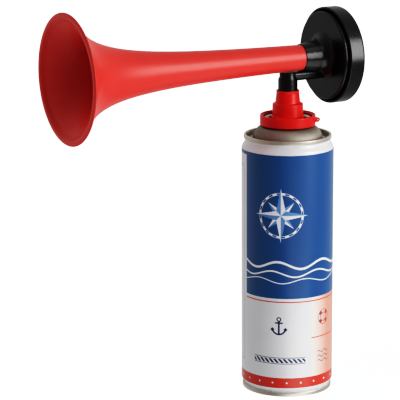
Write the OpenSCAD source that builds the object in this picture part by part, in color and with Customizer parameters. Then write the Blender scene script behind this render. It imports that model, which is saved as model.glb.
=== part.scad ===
// Hand-held gas horn: a steel gas can with its valve, and a head that turns and presses on the valve stem.
// Millimetres. Origin at the centre of the can's resting edge, +Z up, the trumpet's mouth towards -X.

/* [Can] */
// Outside diameter of the can body
can_d = 56.8; // [54:0.2:66]
// Height from the resting edge to the top of the upper seam
can_h = 161.8; // [120:0.2:220]
// Thickness of the body sheet
body_sheet = 0.28; // [0.2:0.02:0.36]
// Thickness of the sheet in the two ends
end_sheet = 0.3; // [0.22:0.02:0.36]
// How far the upper folded seam lies inside the body's diameter
upper_seam_in = 1.2; // [0.6:0.1:1.6]
// How far the lower folded seam lies inside the body's diameter
lower_seam_in = 0.5; // [0.2:0.1:1.5]
// Height of each folded seam
seam_h = 2.6; // [2.4:0.1:3.4]
// Gap between the layers of a seam
seam_gap = 0.03; // [0.02:0.01:0.05]
// Thickness of the sealing compound in each seam
seal_t = 0.2; // [0.1:0.05:0.3]
// Bend radius at the crown of a seam
crown_bend = 0.4; // [0.3:0.05:0.45]
// Length of the narrow neck under the upper seam
upper_neck = 0.6; // [0.4:0.1:2]
// Height of the upper shoulder
upper_shoulder = 5.2; // [3:0.1:9]
// Length of the narrow neck over the lower seam
lower_neck = 0.4; // [0.2:0.1:2]
// Height of the lower shoulder
lower_shoulder = 2.8; // [2:0.1:6]

/* [Can ends] */
// Depth of the groove's straight wall under the upper seam
groove_wall = 3.2; // [2:0.1:5]
// Width of the groove between the upper seam and the dome
groove_w = 4.4; // [3:0.1:6]
// Rise of the dome from the groove to the lip's foot
dome_rise = 8.8; // [7:0.1:12]
// Diameter of the opening in the dome
opening_d = 25.4; // [25:0.1:26]
// Diameter of the rolled lip's section
lip_roll_d = 2.7; // [2.4:0.1:3]
// Height of the lip's straight wall
lip_wall = 2.1; // [2:0.1:3]
// Bend radius between the dome and the lip
lip_bend = 0.55; // [0.4:0.05:0.8]
// How far the lip's roll is wound past level, in degrees
lip_wind = 50; // [20:5:80]
// Depth of the base's straight wall
base_wall = 3.2; // [2.4:0.1:6]
// Radius of the base's inward dome
base_dome_r = 52; // [40:1:90]
// Bend radius at the foot of the base's dome
base_bend = 1.6; // [1:0.1:2.5]

/* [Label] */
// Thickness of the printed sleeve
label_t = 0.12; // [0.06:0.02:0.3]
// Gap between the sleeve and the can
label_gap = 0.02; // [0.01:0.01:0.05]
// Bare length between the sleeve and each shoulder
label_inset = 0.1; // [0:0.1:6]

/* [Valve cup] */
// Thickness of the cup's sheet
cup_sheet = 0.34; // [0.26:0.02:0.4]
// Thickness of the gasket under the cup's rim
cup_gasket_t = 0.4; // [0.3:0.05:0.6]
// Depth of the cup from its rim's top to its floor
cup_depth = 7; // [6.4:0.1:9]
// Bend radius at the cup's floor
cup_bend = 1.1; // [0.8:0.1:1.4]
// How far the cup's wall is swelled out under the can's lip
cup_crimp = 0.9; // [0.5:0.1:1.1]
// How far the cup's rim comes down outside the lip
cup_skirt = 1.4; // [1:0.1:1.6]
// Outside diameter of the raised middle
pedestal_d = 14.1; // [13.6:0.1:14.6]
// Outside diameter of the raised middle's crimped waist
waist_d = 12.8; // [12.4:0.1:13]
// Height of the waist over the cup's floor
waist_h = 1.5; // [1.2:0.1:1.9]
// Height of the raised middle over the cup's floor
pedestal_h = 6.6; // [6.4:0.1:8]
// Bend radius of the raised middle
pedestal_bend = 0.8; // [0.5:0.1:1]
// Diameter of the hole for the stem
pedestal_hole_d = 5.2; // [4.8:0.1:6]

/* [Valve] */
// Clearance of gaskets and stacked pieces on their seats
seat_gap = 0.02; // [0.01:0.01:0.05]
// Thickness of the flat gasket round the stem
stem_gasket_t = 1; // [0.8:0.1:1.2]
// Height of the housing's flange
housing_flange_h = 2.7; // [2:0.1:3]
// Outside diameter of the housing's cup
housing_d = 10.6; // [10:0.1:11.4]
// Length of the housing's cup under its flange
housing_len = 9.6; // [9:0.1:14]
// Bore of the housing
housing_bore_d = 7.2; // [7:0.1:7.6]
// Thickness of the housing's floor
housing_floor = 1.6; // [1:0.1:2]
// Outside diameter of the housing's tail
tail_d = 4.6; // [4:0.1:6]
// Length of the housing's tail
tail_len = 5; // [3:0.5:8]
// Bore of the housing's tail
tail_bore_d = 2; // [1.2:0.1:2.6]
// Outside diameter of the stem
stem_d = 4; // [3.6:0.1:4.4]
// Bore of the stem
stem_bore_d = 2; // [1.4:0.1:2.4]
// How far the stem stands over the raised middle
stem_out = 7.8; // [6.5:0.1:9]
// Running clearance of the stem in its gasket and bush
stem_clear = 0.05; // [0.02:0.01:0.08]
// Diameter of the stem's collar
stem_collar_d = 6.4; // [5.8:0.1:6.6]
// Height of the stem's collar
stem_collar_h = 3; // [2:0.1:3.4]
// Diameter of the spigot under the stem's collar
spring_spigot_d = 3; // [2.4:0.1:3.4]
// Length of the spigot under the stem's collar
spring_spigot_h = 2.6; // [1.5:0.1:3]
// Diameter of the stem's cross hole
cross_hole_d = 0.7; // [0.4:0.1:0.8]
// Wire of the spring
spring_wire = 0.5; // [0.4:0.05:0.6]
// Diameter of the spring at the middle of its wire
spring_mid_d = 4.9; // [4.6:0.1:5.4]
// Number of turns of the spring
spring_turns = 5.5; // [4:0.5:6]

/* [Guide collar] */
// Gap between the collar and the valve cup
collar_seat = 0.04; // [0.02:0.01:0.1]
// Radial gap between the snap ring and the cup
ring_clear = 0.2; // [0.1:0.05:0.25]
// Wall of the snap ring
ring_wall = 0.82; // [0.7:0.02:1.4]
// How far the snap bead reaches in under the cup's rim
bead_in = 0.4; // [0.2:0.05:0.5]
// Height of the snap bead
bead_h = 0.6; // [0.4:0.1:0.8]
// Gap between the snap bead and the cup's rim
bead_gap = 0.1; // [0.05:0.05:0.2]
// Height of the ring over the collar's underside
ring_up = 1.7; // [1.3:0.1:3]
// Width of the ring's raised rim
rim_w = 1.1; // [0.9:0.1:1.4]
// Thickness of the collar's floor
floor_t = 0.9; // [0.6:0.1:1.1]
// Diameter of the lower step at its top
step_top_d = 18.9; // [18:0.1:19.1]
// Diameter of the lower step at its foot
step_foot_d = 19.3; // [19:0.1:19.6]
// Height of the lower step over the collar's underside
step_h = 8.7; // [7:0.1:11]
// Diameter of the upper step at its top
upper_top_d = 14; // [13.6:0.1:14.6]
// Diameter of the upper step at its foot
upper_foot_d = 15.5; // [15:0.1:16.4]
// Height of the whole collar over its underside
collar_h = 16.8; // [14:0.1:18]
// Height of the bead round the collar's top
top_bead_h = 0.9; // [0.5:0.1:1.5]
// How far the bead round the collar's top stands out
top_bead_out = 0.2; // [0.1:0.05:0.4]
// Wall of the collar's two tubes below the step
step_wall = 1.1; // [0.9:0.05:1.2]
// Inside diameter of the two windows
window_in_d = 21; // [20.8:0.2:22]
// Outside diameter of the two windows
window_out_d = 30.4; // [28:0.2:30.6]
// Arc of each window in degrees
window_arc = 112; // [60:2:140]
// Direction of the first window from +X in degrees
window_dir = -31; // [-90:1:90]
// Direction of the tab from +X in degrees
tab_dir = -40; // [-90:1:90]
// How far the tab stands out of the ring
tab_out = 2.8; // [2.2:0.1:4]
// Height of the tab at its root
tab_h = 3.2; // [2.4:0.1:3.4]
// Width of the tab
tab_w = 3; // [2:0.1:5]
// Distance from the collar's underside down to the tab's middle
tab_drop = 1.2; // [0.8:0.1:2.6]
// Diameter of the tab's rounded tip
tab_tip_d = 2.2; // [1.6:0.1:2.4]
// Diameter of the eye through the tab
tab_eye_d = 1.1; // [0.6:0.1:1.2]

/* [Head tube and arm] */
// Diameter of the stem tube
tube_d = 12; // [11.6:0.1:12.2]
// Running clearance of the stem tube in the collar
tube_clear = 0.08; // [0.03:0.01:0.1]
// Length of the stem tube inside the collar
tube_in = 14.2; // [12:0.1:14.4]
// Height of the tube's shoulder over the collar
tube_show = 6.9; // [5:0.1:7.6]
// Diameter of the elbow over the tube's shoulder
elbow_d = 10.4; // [9.6:0.1:11]
// Height of the sloping shoulder between tube and elbow
elbow_slope = 1.3; // [0.8:0.1:1.8]
// Rounding of the elbow's top edge
elbow_round = 0.8; // [0.4:0.1:1.2]
// Gap between the stem's top and the roof of its socket
socket_gap = 0.05; // [0.03:0.01:0.1]
// Depth of the socket over the bush
socket_land = 0.6; // [0.3:0.1:1]
// Outside diameter of the bush round the stem
bush_d = 8; // [7:0.1:9]
// Recess of the bush in the tube's end
bush_recess = 0.2; // [0.1:0.1:0.6]
// Bore of the gas passage
passage_d = 3; // [2:0.1:3.2]
// Width of the arm
arm_w = 8.4; // [7:0.1:9]
// Height of the arm
arm_h = 5.2; // [4.6:0.1:5.6]
// Rounding of the arm's long edges
arm_round = 1.6; // [1:0.1:2.2]
// Gap between the arm and the trumpet over it
arm_gap = 0.25; // [0.2:0.05:0.4]

/* [Hub and housing] */
// Height of the trumpet's axis over the collar's top
horn_rise = 19.43; // [17.5:0.01:24]
// Distance from the stem's axis to the hub's front
hub_x = 8.7; // [7.4:0.1:12]
// Length of the hub
hub_len = 16; // [14:0.1:24]
// Diameter of the hub's front
hub_d = 16.8; // [16.2:0.1:17.6]
// Diameter of the hub where it meets the plate
hub_foot_d = 19; // [17.6:0.1:20]
// Hollow rounding between hub and plate
hub_fillet = 6.5; // [2:0.1:8]
// Diameter of the front plate
plate_d = 54.6; // [50:0.2:62]
// Thickness of the front plate
plate_t = 2.2; // [2:0.1:3]
// Rounding of the plate's edge
plate_round = 1; // [0.6:0.1:1.4]
// Depth of the gas chamber behind the plate
chamber_len = 5.7; // [4.6:0.1:8]
// Width of the rim that clamps the diaphragm
clamp_w = 3.5; // [2.5:0.1:5]
// Thickness of the gasket in front of the diaphragm
front_gasket_t = 0.8; // [0.5:0.1:1.2]
// Thickness of the diaphragm
diaphragm_t = 0.3; // [0.2:0.05:0.5]
// Thickness of the ring behind the diaphragm
clamp_ring_t = 1.3; // [1:0.1:2]
// Gap between the clamped rings and the cap's wall
ring_side_gap = 0.6; // [0.3:0.1:1]
// Depth of the groove for the cap's snap bead
snap_h = 0.35; // [0.2:0.05:0.5]
// Length of the cap's snap bead
snap_len = 0.9; // [0.6:0.1:1.2]
// Distance from the chamber's rim forward to the snap bead's middle
snap_in = 1.8; // [1.5:0.1:2.6]

/* [Back cap] */
// Wall between the plate's edge and the cap's outside
cap_side = 2.5; // [2.2:0.05:4]
// Fit between the cap and the plate's edge
cap_fit = 0.05; // [0.02:0.01:0.1]
// Distance from the plate's face to the cap's front edge
cap_inset = 2.5; // [1.6:0.1:3.2]
// Width of the chamfer inside the cap's front edge
cap_chamfer = 1.3; // [0.8:0.1:1.4]
// Rounding of the cap's front edge
cap_front_round = 0.6; // [0.3:0.1:0.8]
// Thickness of the cap's back
cap_back = 2.6; // [2.2:0.1:4]
// Rounding of the cap's rear edge
cap_round = 1.8; // [1:0.1:2.2]
// Width of the flat ring round the cap's dish
dish_rim = 6.5; // [4:0.5:12]
// Depth of the shallow dish in the cap's back
dish_depth = 0.5; // [0.2:0.1:0.8]
// Depth of the relief inside the cap's back
relief_depth = 0.6; // [0.3:0.1:0.9]

/* [Trumpet] */
// Diameter of the trumpet's mouth
mouth_d = 78.6; // [60:0.2:100]
// Distance from the stem's axis to the mouth
mouth_x = 150.6; // [110:0.5:190]
// Diameter towards which the flare narrows
flare_core_d = 11.3; // [10.4:0.1:12]
// Length over which the flare opens
flare_len = 21.6; // [16:0.1:26]
// Steepness of the flare
flare_power = 1.27; // [1.2:0.01:1.5]
// Wall of the trumpet at the mouth
mouth_wall = 1.6; // [1.2:0.1:2.2]
// Wall of the trumpet at the hub
hub_wall = 2.3; // [2:0.1:2.6]
// Diameter of the spigot in the hub
spigot_d = 12.6; // [12.4:0.1:13]
// Fit of the spigot in the hub
spigot_fit = 0.04; // [0.02:0.01:0.06]
// Bore of the seat at the diaphragm
seat_bore_d = 6.8; // [5:0.1:8]
// Width of the seat's ring
seat_w = 0.9; // [0.6:0.1:1.4]
// Length of the slope behind the seat
seat_slope = 1.6; // [1:0.1:2.4]
// Section diameter of the seal round the spigot
o_ring_d = 1.3; // [1:0.1:1.4]
// Distance from the hub's front to the seal
o_ring_in = 12; // [10:0.5:13]

/* [Edges and smoothness] */
// Small chamfer on moulded and turned edges
edge_break = 0.3; // [0.1:0.05:0.35]
// Facets round each full circle
$fn = 96; // [48:8:144]
// Steps along each bend
bend_steps = 6; // [3:1:8]
// Steps along the trumpet's flare
flare_steps = 44; // [24:2:60]

/* [Hidden] */

// Extra length of a cutting tool past a face
over = 0.5;
// Steps along a shoulder or a dome
form_steps = 12;
// Rings in one turn of the spring and sides of its wire
spring_rings = 8;
spring_sides = 6;

// Seam layers from outside in: the end's wall, the two hooks, the body's neck and the end's inner wall.
// The middle radius of the first and of the fourth, for each seam
layer_step = (body_sheet + end_sheet) / 2 + seam_gap;
upper_seam_r = can_d / 2 - upper_seam_in - end_sheet / 2;
lower_seam_r = can_d / 2 - lower_seam_in - end_sheet / 2;
upper_neck_r = upper_seam_r - 3 * layer_step;
lower_neck_r = lower_seam_r - 3 * layer_step;
// Depths of the seam's bends below its crown
body_turn_depth = end_sheet + seal_t + 2 * seam_gap + layer_step + body_sheet / 2;
end_turn_depth = seam_h - layer_step - end_sheet / 2;
crown_bend_depth = end_sheet / 2 + crown_bend;

// Can heights
body_r = (can_d - body_sheet) / 2;
lower_shoulder_z = seam_h + lower_neck;
straight_low_z = lower_shoulder_z + lower_shoulder;
upper_shoulder_z = can_h - seam_h - upper_neck;
straight_high_z = upper_shoulder_z - upper_shoulder;

// Dome and its rolled lip
groove_z = can_h - groove_wall;
dome_top_z = groove_z + dome_rise;
lip_wall_r = (opening_d + end_sheet) / 2;
lip_roll_r = (lip_roll_d - end_sheet) / 2;
lip_r = lip_wall_r + lip_roll_r;
lip_foot_z = dome_top_z + lip_bend;
lip_z = lip_foot_z + lip_wall;

// Valve cup
cup_roll_r = lip_roll_d / 2 + cup_gasket_t + 2 * seat_gap + cup_sheet / 2;
cup_top_z = lip_z + cup_roll_r + cup_sheet / 2;
cup_out_r = lip_r + cup_roll_r + cup_sheet / 2;
cup_wall_r = lip_r - cup_roll_r;
skirt_low_z = lip_z - cup_skirt;
cup_floor_z = cup_top_z - cup_depth;
pedestal_r = (pedestal_d - cup_sheet) / 2;
waist_r = (waist_d - cup_sheet) / 2;
pedestal_top_z = cup_floor_z + pedestal_h;

// Valve stack under the raised middle
stem_r = stem_d / 2;
stem_hole_r = stem_r + stem_clear;
stem_gasket_z = pedestal_top_z - cup_sheet - seat_gap - stem_gasket_t;
stem_gasket_r = pedestal_r - pedestal_bend - seat_gap;
housing_top_z = stem_gasket_z - seat_gap;
flange_r = pedestal_r - cup_sheet / 2 - seat_gap;
flange_low_z = housing_top_z - housing_flange_h;
housing_low_z = flange_low_z - housing_len;
housing_floor_z = housing_low_z + housing_floor;
stem_top_z = pedestal_top_z + stem_out;
stem_collar_z = stem_gasket_z - stem_clear;
stem_shoulder_z = stem_collar_z - stem_collar_h;
cross_hole_z = stem_gasket_z + stem_gasket_t / 2;

// Guide collar
collar_z = cup_top_z + collar_seat;
collar_bore_r = tube_d / 2 + tube_clear;
collar_top_z = collar_z + collar_h;
floor_top_z = collar_z + floor_t;
step_z = collar_z + step_h;
ring_in_r = cup_out_r + ring_clear;
ring_r = ring_in_r + ring_wall;
ring_top_z = collar_z + ring_up;
rim_in_r = ring_r - rim_w;
rim_round = rim_w * 0.45;
bead_top_z = skirt_low_z - bead_gap;
ring_low_z = bead_top_z - bead_in - bead_h;

// Trumpet and housing along the horn's axis, measured from the stem's axis
horn_z = collar_top_z + horn_rise;
plate_x = hub_x + hub_len;
plate_rear_x = plate_x + plate_t;
rim_x = plate_rear_x + chamber_len;
diaphragm_x = rim_x + front_gasket_t + 2 * seat_gap;
clamp_ring_x = diaphragm_x + diaphragm_t + seat_gap;
cap_inner_x = clamp_ring_x + clamp_ring_t + seat_gap;
cap_back_x = cap_inner_x + cap_back;
cap_front_x = plate_x + cap_inset;
snap_x = rim_x - snap_in;
plate_r = plate_d / 2;
chamber_r = plate_r - clamp_w;
clamped_r = plate_r - ring_side_gap;
groove_r = plate_r - snap_h;
cap_bore_r = plate_r + cap_fit;
cap_r = plate_r + cap_side;
spigot_r = spigot_d / 2;
hub_bore_r = spigot_r + spigot_fit;
seal_r = hub_bore_r - seat_gap - o_ring_d / 2;
seal_x = hub_x + o_ring_in;

// Flare of the trumpet, measured back from the plane of its mouth
core_r = flare_core_d / 2;
lip_slope = atan((mouth_d / 2 - mouth_wall / 2 - core_r) * flare_power / flare_len);
flare_root_r = mouth_d / 2 - mouth_wall / 2 * (1 - cos(lip_slope));
flare_root = mouth_wall / 2 * (1 + sin(lip_slope));
horn_len = mouth_x + hub_x - seat_gap;

// Head tube, elbow and arm
tube_r = tube_d / 2;
elbow_r = elbow_d / 2;
tube_low_z = collar_top_z - tube_in;
shoulder_z = collar_top_z + tube_show;
arm_top_z = horn_z - flare_r(mouth_x - tube_r) - arm_gap;
passage_z = arm_top_z - arm_h / 2;
socket_roof_z = stem_top_z + socket_gap;
bush_low_z = tube_low_z + bush_recess;
bush_top_z = socket_roof_z - socket_land;

// Outer radius of the trumpet at a distance behind its mouth
function flare_r(u) =
    core_r + (flare_root_r - core_r) * pow(flare_len / (u - flare_root + flare_len), flare_power);

// Points on an arc, from angle a to angle b
function arc(centre, r, a, b, steps = bend_steps) =
    [for (i = [0:steps]) centre + r * [cos(a + (b - a) * i / steps), sin(a + (b - a) * i / steps)]];

// Points of a smooth S between two radii
function shoulder(r_a, z_a, r_b, z_b) =
    [for (i = [0:form_steps])
        let (s = i / form_steps)
        [r_a + (r_b - r_a) * (1 - cos(180 * s)) / 2, z_a + (z_b - z_a) * s]];

// Outline of a bent sheet from the path along its middle
function reversed(list) = [for (i = [len(list) - 1:-1:0]) list[i]];
function no_repeats(path) =
    [for (i = [0:len(path) - 1])
        let (before = path[(i + len(path) - 1) % len(path)])
        if (norm(path[i] - before) > 0.001) path[i]];
function edge_normal(path, i) =
    let (v = path[i + 1] - path[i])
    [-v[1], v[0]] / norm(v);
function miter(a, b) = (a + b) / (1 + a * b);
function path_normal(path, i) =
    i == 0 ? edge_normal(path, 0)
    : i == len(path) - 1 ? edge_normal(path, i - 1)
    : miter(edge_normal(path, i - 1), edge_normal(path, i));
function side(path, d) = [for (i = [0:len(path) - 1]) path[i] + d * path_normal(path, i)];
function sheet(path, t) = concat(side(path, t / 2), reversed(side(path, -t / 2)));

// Middle radius of the end's inner wall, in a seam with its outer wall at radius r
function chuck_r(r) = r - 4 * layer_step;

// Paths of the end and of the body through that seam, as [radius, depth below the crown]
function seam_end_path(r) = concat(
    [[r - 2 * layer_step, body_turn_depth]],
    arc([r - layer_step, end_turn_depth], layer_step, 180, 0),
    arc([r - crown_bend, crown_bend_depth], crown_bend, 0, -90),
    arc([chuck_r(r) + crown_bend, crown_bend_depth], crown_bend, -90, -180)
);
function seam_body_path(r) = concat(
    [[r - layer_step, end_turn_depth]],
    arc([r - 2 * layer_step, body_turn_depth], layer_step, 0, -180)
);
function upper(path) = [for (p = path) [p[0], can_h - p[1]]];

// A revolved sheet
module spun_sheet(path, t) {
    rotate_extrude()
        polygon(sheet(no_repeats(path), t));
}

// A revolved solid outline
module spun(outline) {
    rotate_extrude()
        polygon(no_repeats(outline));
}

// A flat ring or disc standing at height z
module ring(r_in, r_out, z, h) {
    translate([0, 0, z])
        difference() {
            cylinder(r = r_out, h = h);
            if (r_in > 0)
                translate([0, 0, -over])
                    cylinder(r = r_in, h = h + 2 * over);
        }
}

// Turns a shape made round Z so that it lies along the horn's axis
module along_horn() {
    translate([0, 0, horn_z])
        rotate([0, 90, 0])
            children();
}

module can_body() {
    path = concat(
        seam_body_path(lower_seam_r),
        shoulder(lower_neck_r, lower_shoulder_z, body_r, straight_low_z),
        shoulder(body_r, straight_high_z, upper_neck_r, upper_shoulder_z),
        reversed(upper(seam_body_path(upper_seam_r)))
    );
    color("gainsboro")
        spun_sheet(path, body_sheet);
}

module can_dome() {
    chuck_wall_r = chuck_r(upper_seam_r);
    groove_mid_r = chuck_wall_r - groove_w / 2;
    dome_span = chuck_wall_r - groove_w - lip_wall_r - lip_bend;
    dome = [for (i = [0:2 * form_steps])
        let (a = 45 * i / form_steps)
        [lip_wall_r + lip_bend + dome_span * cos(a), groove_z + dome_rise * sin(a)]];
    path = concat(
        upper(seam_end_path(upper_seam_r)),
        arc([groove_mid_r, groove_z], groove_w / 2, 0, -180, 2 * bend_steps),
        dome,
        arc([lip_wall_r + lip_bend, lip_foot_z], lip_bend, 270, 180),
        arc([lip_r, lip_z], lip_roll_r, 180, -lip_wind, 2 * bend_steps)
    );
    color("darkgray")
        spun_sheet(path, end_sheet);
}

module can_base() {
    foot_r = chuck_r(lower_seam_r) - base_bend;
    foot_angle = asin(foot_r / (base_dome_r - base_bend));
    dome_centre_z = base_wall - (base_dome_r - base_bend) * cos(foot_angle);
    dome = [for (i = [0:form_steps - 1])
        let (a = foot_angle * (1 - i / form_steps))
        [base_dome_r * sin(a), dome_centre_z + base_dome_r * cos(a)]];
    path = concat(
        seam_end_path(lower_seam_r),
        arc([foot_r, base_wall], base_bend, 0, 90 - foot_angle),
        dome,
        [[0, dome[form_steps - 1][1]]]
    );
    color("silver")
        spun_sheet(path, end_sheet);
}

// Sealing compound in the crown of a seam with its wall at radius r
module seam_seal(r, z) {
    color("dimgray")
        ring(chuck_r(r) + crown_bend, r - crown_bend, z, seal_t);
}

module upper_seam_seal() {
    seam_seal(upper_seam_r, can_h - end_sheet - seam_gap - seal_t);
}

module lower_seam_seal() {
    seam_seal(lower_seam_r, end_sheet + seam_gap);
}

module label_sleeve() {
    r = can_d / 2 + label_gap;
    z = straight_low_z + label_inset;
    color("royalblue")
        ring(r, r + label_t, z, straight_high_z - label_inset - z);
}

module valve_cup() {
    floor_mid_z = cup_floor_z - cup_sheet / 2;
    top_mid_z = pedestal_top_z - cup_sheet / 2;
    swelled_r = cup_wall_r + cup_crimp;
    path = concat(
        [[lip_r + cup_roll_r, skirt_low_z]],
        arc([lip_r, lip_z], cup_roll_r, 0, 180, 2 * bend_steps),
        shoulder(cup_wall_r, lip_foot_z, swelled_r, floor_mid_z + cup_bend),
        arc([swelled_r - cup_bend, floor_mid_z + cup_bend], cup_bend, 0, -90),
        arc([waist_r + pedestal_bend, floor_mid_z + pedestal_bend], pedestal_bend, -90, -180),
        shoulder(waist_r, floor_mid_z + waist_h, pedestal_r, flange_low_z - cup_sheet),
        arc([pedestal_r - pedestal_bend, top_mid_z - pedestal_bend], pedestal_bend, 0, 90),
        [[pedestal_hole_d / 2, top_mid_z]]
    );
    color("silver")
        spun_sheet(path, cup_sheet);
}

module cup_gasket() {
    path = arc([lip_r, lip_z], lip_roll_d / 2 + seat_gap + cup_gasket_t / 2, 0, 180, 2 * bend_steps);
    color("dimgray")
        spun_sheet(path, cup_gasket_t);
}

module valve_housing() {
    tail_low_z = housing_low_z - tail_len;
    outline = [
        [tail_bore_d / 2, tail_low_z],
        [tail_d / 2 - edge_break, tail_low_z],
        [tail_d / 2, tail_low_z + 2 * edge_break],
        [tail_d / 2, housing_low_z],
        [housing_d / 2 - 2 * edge_break, housing_low_z],
        [housing_d / 2, housing_low_z + 2 * edge_break],
        [housing_d / 2, flange_low_z],
        [flange_r, flange_low_z],
        [flange_r, housing_top_z],
        [housing_bore_d / 2, housing_top_z],
        [housing_bore_d / 2, housing_floor_z],
        [tail_bore_d / 2, housing_floor_z]
    ];
    color("white")
        spun(outline);
}

module stem_gasket() {
    color("dimgray")
        ring(stem_hole_r, stem_gasket_r, stem_gasket_z, stem_gasket_t);
}

module valve_stem() {
    collar_r = stem_collar_d / 2;
    spigot_low_z = stem_shoulder_z - spring_spigot_h;
    bore_low_z = cross_hole_z - cross_hole_d;
    outline = [
        [0, spigot_low_z],
        [spring_spigot_d / 2 - edge_break, spigot_low_z],
        [spring_spigot_d / 2, spigot_low_z + edge_break],
        [spring_spigot_d / 2, stem_shoulder_z],
        [collar_r - edge_break, stem_shoulder_z],
        [collar_r, stem_shoulder_z + edge_break],
        [collar_r, stem_collar_z],
        [stem_r, stem_collar_z],
        [stem_r, stem_top_z - edge_break],
        [stem_r - edge_break, stem_top_z],
        [stem_bore_d / 2, stem_top_z],
        [stem_bore_d / 2, bore_low_z],
        [0, bore_low_z]
    ];
    color("white")
        difference() {
            spun(outline);
            translate([0, 0, cross_hole_z])
                rotate([90, 0, 0])
                    cylinder(d = cross_hole_d, h = stem_d + 2 * over, center = true);
        }
}

// Wire of the spring: corner j of ring i, and the least gap between neighbouring turns
spring_low_z = housing_floor_z + spring_wire / 2 + seat_gap;
spring_high_z = stem_shoulder_z - spring_wire / 2 - seat_gap;
spring_count = spring_turns * spring_rings;
spring_climb = (spring_high_z - spring_low_z) / spring_count;
spring_slope = atan(spring_climb * spring_rings / (PI * spring_mid_d));
function spring_point(i, j) =
    let (
        a = 360 * i / spring_rings,
        b = 360 * j / spring_sides,
        out = [cos(a), sin(a), 0],
        up = [sin(a) * sin(spring_slope), -cos(a) * sin(spring_slope), cos(spring_slope)]
    )
    spring_mid_d / 2 * out + [0, 0, spring_low_z + i * spring_climb]
    + spring_wire / 2 * (cos(b) * out + sin(b) * up);
spring_least_gap = min([
    for (i = [0:spring_count - spring_rings])
        for (k = [spring_rings - 1:spring_rings + 1])
            if (i + k <= spring_count)
                for (j = [0:spring_sides - 1])
                    for (m = [0:spring_sides - 1])
                        norm(spring_point(i, j) - spring_point(i + k, m))
]);
echo(spring_least_gap = spring_least_gap);

module valve_spring() {
    points = [for (i = [0:spring_count]) for (j = [0:spring_sides - 1]) spring_point(i, j)];
    last = spring_count * spring_sides;
    walls = [
        for (i = [0:spring_count - 1])
            for (j = [0:spring_sides - 1])
                let (
                    here = i * spring_sides,
                    next = here + spring_sides,
                    k = (j + 1) % spring_sides
                )
                each [[here + j, next + k, next + j], [here + j, here + k, next + k]]
    ];
    ends = [
        for (j = [1:spring_sides - 2])
            each [[0, j + 1, j], [last, last + j, last + j + 1]]
    ];
    color("silver")
        polyhedron(points, concat(walls, ends));
}

// Kidney-shaped window in the collar's floor
module window() {
    in_r = window_in_d / 2;
    out_r = window_out_d / 2;
    end_r = (out_r - in_r) / 2;
    mid_r = (out_r + in_r) / 2;
    half = window_arc / 2 - asin(end_r / mid_r);
    polygon(no_repeats(concat(
        arc([0, 0], out_r, -half, half, 2 * form_steps),
        arc(mid_r * [cos(half), sin(half)], end_r, half, half + 180, form_steps),
        arc([0, 0], in_r, half, -half, 2 * form_steps),
        arc(mid_r * [cos(half), -sin(half)], end_r, 180 - half, 360 - half, form_steps)
    )));
}

// Small lug with an eye on the snap ring
module tab() {
    tip = [ring_r + tab_out - tab_tip_d / 2, collar_z - tab_drop];
    root_r = ring_r - ring_wall / 2;
    rotate([0, 0, tab_dir])
        rotate([90, 0, 0])
            linear_extrude(tab_w, center = true)
                difference() {
                    union() {
                        polygon([
                            [root_r, tip[1] - tab_h / 2],
                            [tip[0], tip[1] - tab_tip_d / 2],
                            [tip[0], tip[1] + tab_tip_d / 2],
                            [root_r, tip[1] + tab_h / 2]
                        ]);
                        translate(tip)
                            circle(d = tab_tip_d);
                    }
                    translate(tip)
                        circle(d = tab_eye_d);
                }
}

module guide_collar() {
    step_bend = 2 * edge_break;
    step_foot_r = step_foot_d / 2;
    step_top_r = step_top_d / 2;
    upper_top_r = upper_top_d / 2;
    bead_r = upper_top_r + top_bead_out;
    bead_low_z = collar_top_z - top_bead_h;
    core_depth = step_h - step_wall;
    outline = concat(
        [[collar_bore_r, collar_z], [ring_in_r, collar_z], [ring_in_r, bead_top_z]],
        [[ring_in_r - bead_in, bead_top_z - bead_in], [ring_in_r - bead_in, ring_low_z + edge_break]],
        [[ring_in_r - bead_in + edge_break, ring_low_z]],
        arc([ring_r - edge_break, ring_low_z + edge_break], edge_break, -90, 0),
        arc([ring_r - rim_round, ring_top_z - rim_round], rim_round, 0, 90),
        arc([rim_in_r + rim_round, ring_top_z - rim_round], rim_round, 90, 180),
        [[rim_in_r, floor_top_z]],
        arc([step_foot_r + step_bend, floor_top_z + step_bend], step_bend, 270, 180),
        arc([step_top_r - step_bend, step_z - step_bend], step_bend, 0, 90),
        [[upper_foot_d / 2, step_z], [upper_top_r, bead_low_z - top_bead_out], [bead_r, bead_low_z]],
        arc([bead_r - edge_break, collar_top_z - edge_break], edge_break, 0, 90),
        [[collar_bore_r + edge_break, collar_top_z], [collar_bore_r, collar_top_z - edge_break]]
    );
    color("red")
        difference() {
            union() {
                spun(outline);
                tab();
            }
            ring(collar_bore_r + step_wall, step_top_r - step_wall, collar_z - over, core_depth + over);
            for (a = [0, 180])
                rotate([0, 0, window_dir + a])
                    translate([0, 0, collar_z - over])
                        linear_extrude(floor_t + 2 * over)
                            window();
        }
}

// Rounded bar section of the arm, lying flat
module arm_section() {
    square([arm_h, arm_w - 2 * arm_round], center = true);
    square([arm_h - 2 * arm_round, arm_w], center = true);
    for (i = [-1, 1])
        for (j = [-1, 1])
            translate([i * (arm_h / 2 - arm_round), j * (arm_w / 2 - arm_round)])
                circle(r = arm_round);
}

module stem_tube() {
    outline = concat(
        [[0, tube_low_z], [tube_r - edge_break, tube_low_z], [tube_r, tube_low_z + edge_break]],
        [[tube_r, shoulder_z], [elbow_r, shoulder_z + elbow_slope]],
        arc([elbow_r - elbow_round, arm_top_z - elbow_round], elbow_round, 0, 90),
        [[0, arm_top_z]]
    );
    spun(outline);
}

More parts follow.
